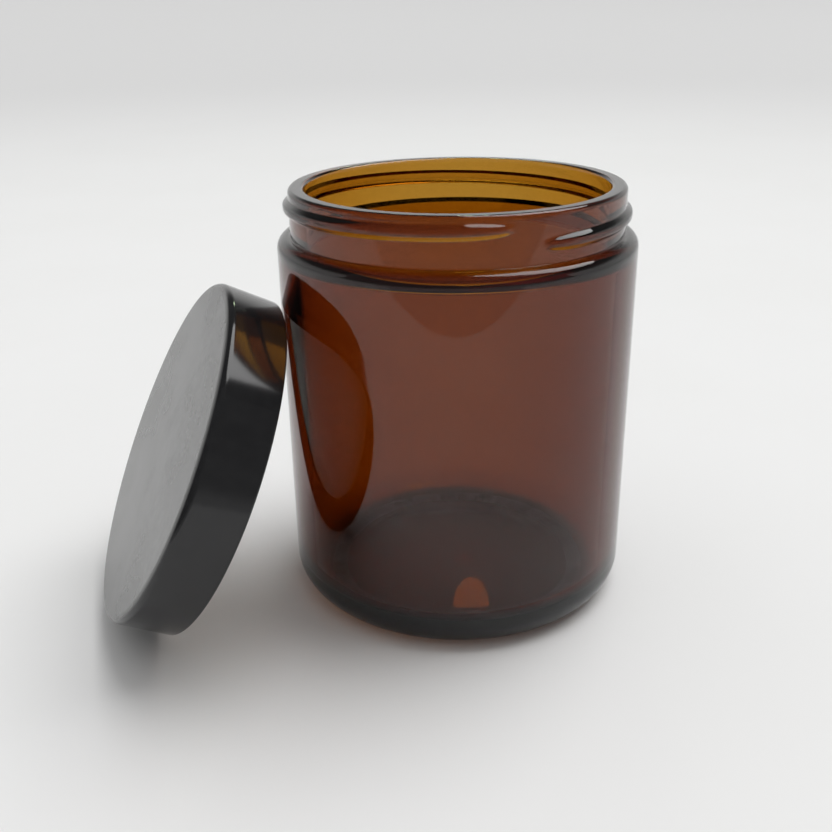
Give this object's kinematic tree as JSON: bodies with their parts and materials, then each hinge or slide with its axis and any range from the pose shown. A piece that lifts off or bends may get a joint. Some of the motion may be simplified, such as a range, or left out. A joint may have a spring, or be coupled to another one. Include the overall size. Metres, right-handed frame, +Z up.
{
  "type": "cosmetic cream jar",
  "caption": "Straight-sided amber glass cream jar with a threaded neck, open and empty, and its smooth black screw lid leaning against the wall.",
  "frame": {"origin": "middle of the footprint of the jar and the leaning lid together, on the floor", "axes": "+Z up along the jar's axis, +X from the lid towards the jar, +Y along the lid's flat width"},
  "size_m": [0.1154, 0.0742, 0.0874],
  "materials": {
    "amber_glass": "clear gloss, dark amber",
    "lid_plastic": "black, gloss skirt and satin top",
    "liner_foam": "white foamed sheet, matt"
  },
  "bodies": {
    "jar": {"glass_jar": "amber_glass"},
    "lid": {"lid_shell": "lid_plastic"},
    "lid_liner": {"liner": "liner_foam"}
  },
  "joints": [
    {"name": "lid_tip", "type": "hinge", "parent": "jar", "child": "lid", "pos_m": [-0.05656, 0.00112, 0.0026], "axis": [0, -1, 0], "range_deg": [0, 116.35]},
    {"name": "liner_turn", "type": "hinge", "parent": "lid", "child": "lid_liner", "pos_m": [-0.0403, 0.00112, 0.03647], "axis": [-0.8961, 0, 0.4439], "continuous": true}
  ]
}
